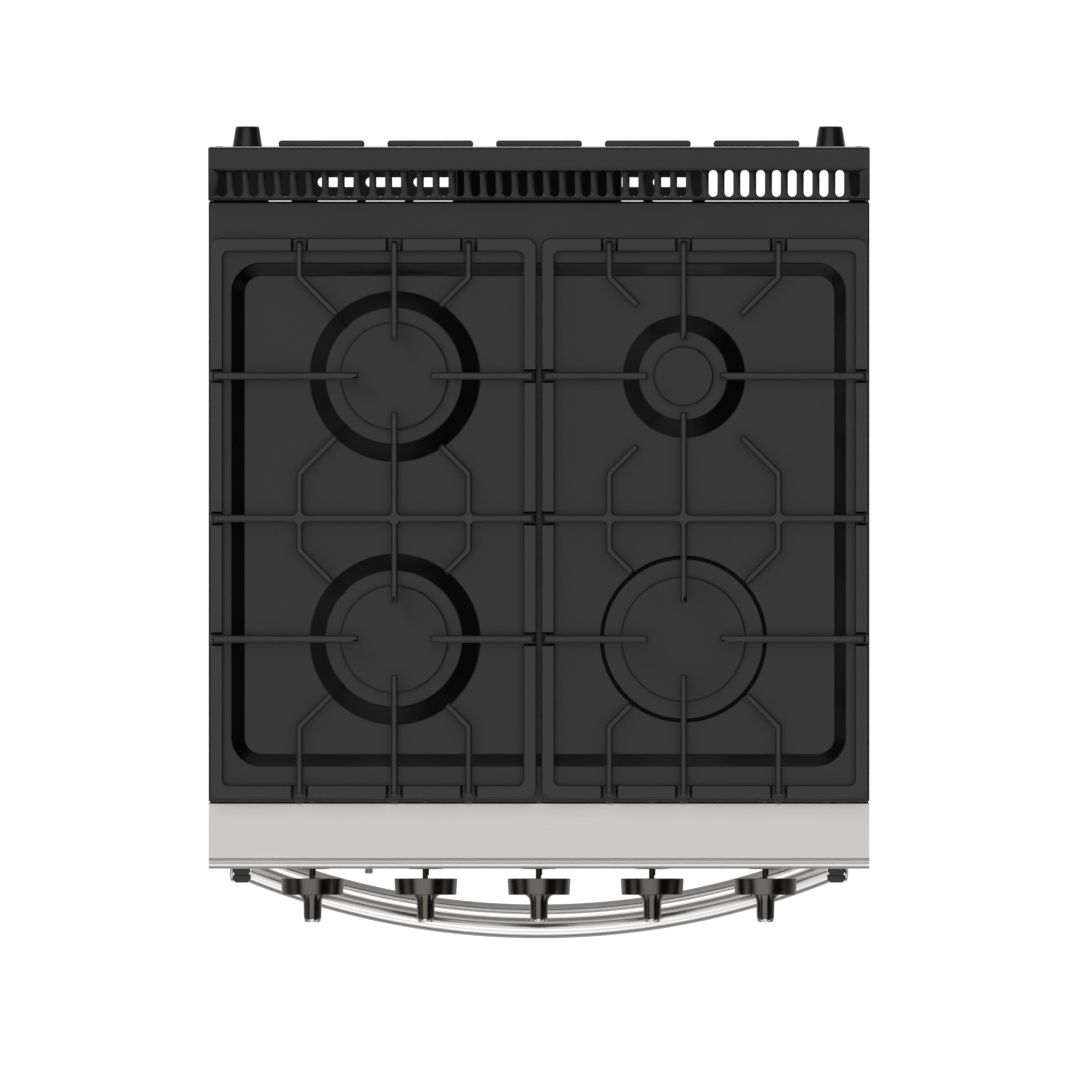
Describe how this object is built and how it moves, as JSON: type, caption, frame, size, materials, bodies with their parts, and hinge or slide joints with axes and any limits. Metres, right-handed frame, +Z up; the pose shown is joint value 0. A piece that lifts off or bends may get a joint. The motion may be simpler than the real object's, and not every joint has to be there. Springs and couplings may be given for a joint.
{
  "type": "freestanding gas range",
  "caption": "Freestanding gas range with pressed black cooktop, iron pan supports, slotted backguard, push-turn knobs, drop-down oven door and lower drawer with bowed tube handles.",
  "frame": {"origin": "on the floor, under the middle of the bounding box", "axes": "+Z up, -Y is the front with the knobs, +X to the right when facing it"},
  "size_m": [0.607, 0.7499, 0.96],
  "materials": {
    "black_enamel": "gloss vitreous enamel",
    "cavity_enamel": "speckled vitreous enamel",
    "stainless": "brushed",
    "handle_steel": "satin tube",
    "galvanised": "galvanised sheet",
    "black_paint": "semi-gloss powder coat",
    "cast_iron": "matte enamel on iron",
    "cap_enamel": "matte enamel",
    "aluminium": "die cast",
    "pipe_metal": "drawn",
    "burner_steel": "heat stained",
    "chrome_wire": "plated wire",
    "black_nickel": "dark plated",
    "spindle_black": "blackened",
    "bezel_steel": "polished",
    "rubber": "moulded",
    "black_plastic": "moulded",
    "button_plastic": "moulded",
    "zinc_steel": "zinc plated",
    "tinted_glass": "tinted",
    "clear_glass": "clear",
    "glass_wool": "mineral wool",
    "glass_braid": "braided",
    "ceramic": "glazed"
  },
  "bodies": {
    "chassis": {"side_panel_left": "black_paint", "side_panel_right": "black_paint", "back_panel": "galvanised", "rear_louvres": "black_plastic", "rear_bumpers": "rubber", "base_pan": "galvanised", "chassis_frame": "galvanised", "levelling_feet": "rubber", "cooktop": "black_enamel", "backguard": "black_enamel", "flue_duct": "black_paint", "control_panel": "stainless", "knob_bezels": "bezel_steel", "screws": "zinc_steel", "gas_manifold": "pipe_metal", "gas_pipes": "pipe_metal", "burner_cups": "aluminium", "burner_electrodes": "ceramic", "oven_liner": "cavity_enamel", "oven_insulation": "glass_wool", "oven_floor_plate": "cavity_enamel", "oven_burner": "burner_steel", "door_gasket": "glass_braid", "door_hinge_arms": "zinc_steel"},
    "door": {"door_shell": "stainless", "door_outer_glass": "tinted_glass", "door_inner_panel": "cavity_enamel", "door_inner_glass": "clear_glass", "door_handle": "handle_steel", "door_handle_mounts": "black_plastic", "door_hinge_bodies": "zinc_steel"},
    "drawer": {"drawer_front": "stainless", "drawer_box": "galvanised", "drawer_handle": "handle_steel", "drawer_handle_mounts": "black_plastic"},
    "rack_upper": {"rack_upper": "chrome_wire"},
    "rack_lower": {"rack_lower": "chrome_wire"},
    "grate_left": {"grate_left": "cast_iron", "grate_feet_left": "rubber"},
    "grate_right": {"grate_right": "cast_iron", "grate_feet_right": "rubber"},
    "igniter_button": {"igniter_button": "button_plastic"},
    "spindle_1": {"valve_spindle_1": "spindle_black"},
    "knob_1": {"knob_1": "black_nickel"},
    "spindle_2": {"valve_spindle_2": "spindle_black"},
    "knob_2": {"knob_2": "black_nickel"},
    "spindle_3": {"valve_spindle_3": "spindle_black"},
    "knob_3": {"knob_3": "black_nickel"},
    "spindle_4": {"valve_spindle_4": "spindle_black"},
    "knob_4": {"knob_4": "black_nickel"},
    "spindle_5": {"valve_spindle_5": "spindle_black"},
    "knob_5": {"knob_5": "black_nickel"},
    "head_rear_left": {"burner_head_rear_left": "aluminium"},
    "cap_rear_left": {"burner_cap_rear_left": "cap_enamel"},
    "head_rear_right": {"burner_head_rear_right": "aluminium"},
    "cap_rear_right": {"burner_cap_rear_right": "cap_enamel"},
    "head_front_left": {"burner_head_front_left": "aluminium"},
    "cap_front_left": {"burner_cap_front_left": "cap_enamel"},
    "head_front_right": {"burner_head_front_right": "aluminium"},
    "cap_front_right": {"burner_cap_front_right": "cap_enamel"}
  },
  "joints": [
    {"name": "oven_door", "type": "hinge", "parent": "chassis", "child": "door", "pos_m": [0, -0.291, 0.252], "axis": [1, 0, 0], "range_deg": [0, 88], "stiffness_Nm_per_rad": 8, "springref_deg": -11.46},
    {"name": "drawer_slide", "type": "slide", "parent": "chassis", "child": "drawer", "axis": [0, -1, 0], "range_m": [0, 0.36]},
    {"name": "rack_upper_slide", "type": "slide", "parent": "chassis", "child": "rack_upper", "axis": [0, -1, 0], "range_m": [0, 0.25]},
    {"name": "rack_lower_slide", "type": "slide", "parent": "chassis", "child": "rack_lower", "axis": [0, -1, 0], "range_m": [0, 0.25]},
    {"name": "grate_left_lift", "type": "slide", "parent": "chassis", "child": "grate_left", "axis": [0, 0, 1], "range_m": [0, 0.08]},
    {"name": "grate_right_lift", "type": "slide", "parent": "chassis", "child": "grate_right", "axis": [0, 0, 1], "range_m": [0, 0.08]},
    {"name": "igniter_push", "type": "slide", "parent": "chassis", "child": "igniter_button", "axis": [0, 1, 0], "range_m": [0, 0.004], "stiffness_N_per_m": 500, "springref_m": -0.001},
    {"name": "valve_1_turn", "type": "hinge", "parent": "chassis", "child": "spindle_1", "pos_m": [-0.2084, -0.3094, 0.82], "axis": [0, -1, 0], "range_deg": [0, 210]},
    {"name": "knob_1_push", "type": "slide", "parent": "spindle_1", "child": "knob_1", "axis": [0, 1, 0], "range_m": [0, 0.003], "stiffness_N_per_m": 800, "springref_m": -0.002},
    {"name": "valve_2_turn", "type": "hinge", "parent": "chassis", "child": "spindle_2", "pos_m": [-0.1042, -0.3094, 0.82], "axis": [0, -1, 0], "range_deg": [0, 210]},
    {"name": "knob_2_push", "type": "slide", "parent": "spindle_2", "child": "knob_2", "axis": [0, 1, 0], "range_m": [0, 0.003], "stiffness_N_per_m": 800, "springref_m": -0.002},
    {"name": "valve_3_turn", "type": "hinge", "parent": "chassis", "child": "spindle_3", "pos_m": [0, -0.3094, 0.82], "axis": [0, -1, 0], "range_deg": [0, 270]},
    {"name": "knob_3_push", "type": "slide", "parent": "spindle_3", "child": "knob_3", "axis": [0, 1, 0], "range_m": [0, 0.003], "stiffness_N_per_m": 800, "springref_m": -0.002},
    {"name": "valve_4_turn", "type": "hinge", "parent": "chassis", "child": "spindle_4", "pos_m": [0.1042, -0.3094, 0.82], "axis": [0, -1, 0], "range_deg": [0, 210]},
    {"name": "knob_4_push", "type": "slide", "parent": "spindle_4", "child": "knob_4", "axis": [0, 1, 0], "range_m": [0, 0.003], "stiffness_N_per_m": 800, "springref_m": -0.002},
    {"name": "valve_5_turn", "type": "hinge", "parent": "chassis", "child": "spindle_5", "pos_m": [0.2084, -0.3094, 0.82], "axis": [0, -1, 0], "range_deg": [0, 210]},
    {"name": "knob_5_push", "type": "slide", "parent": "spindle_5", "child": "knob_5", "axis": [0, 1, 0], "range_m": [0, 0.003], "stiffness_N_per_m": 800, "springref_m": -0.002},
    {"name": "head_rear_left_lift", "type": "slide", "parent": "chassis", "child": "head_rear_left", "axis": [0, 0, 1], "range_m": [0, 0.004]},
    {"name": "cap_rear_left_lift", "type": "slide", "parent": "head_rear_left", "child": "cap_rear_left", "axis": [0, 0, 1], "range_m": [0, 0.0045]},
    {"name": "head_rear_right_lift", "type": "slide", "parent": "chassis", "child": "head_rear_right", "axis": [0, 0, 1], "range_m": [0, 0.004]},
    {"name": "cap_rear_right_lift", "type": "slide", "parent": "head_rear_right", "child": "cap_rear_right", "axis": [0, 0, 1], "range_m": [0, 0.0045]},
    {"name": "head_front_left_lift", "type": "slide", "parent": "chassis", "child": "head_front_left", "axis": [0, 0, 1], "range_m": [0, 0.004]},
    {"name": "cap_front_left_lift", "type": "slide", "parent": "head_front_left", "child": "cap_front_left", "axis": [0, 0, 1], "range_m": [0, 0.0045]},
    {"name": "head_front_right_lift", "type": "slide", "parent": "chassis", "child": "head_front_right", "axis": [0, 0, 1], "range_m": [0, 0.004]},
    {"name": "cap_front_right_lift", "type": "slide", "parent": "head_front_right", "child": "cap_front_right", "axis": [0, 0, 1], "range_m": [0, 0.0045]}
  ],
  "couplings": [
    {"joint": "rack_upper_slide", "follows": "oven_door", "m_per_rad": 0.16},
    {"joint": "rack_lower_slide", "follows": "oven_door", "m_per_rad": 0.16}
  ]
}
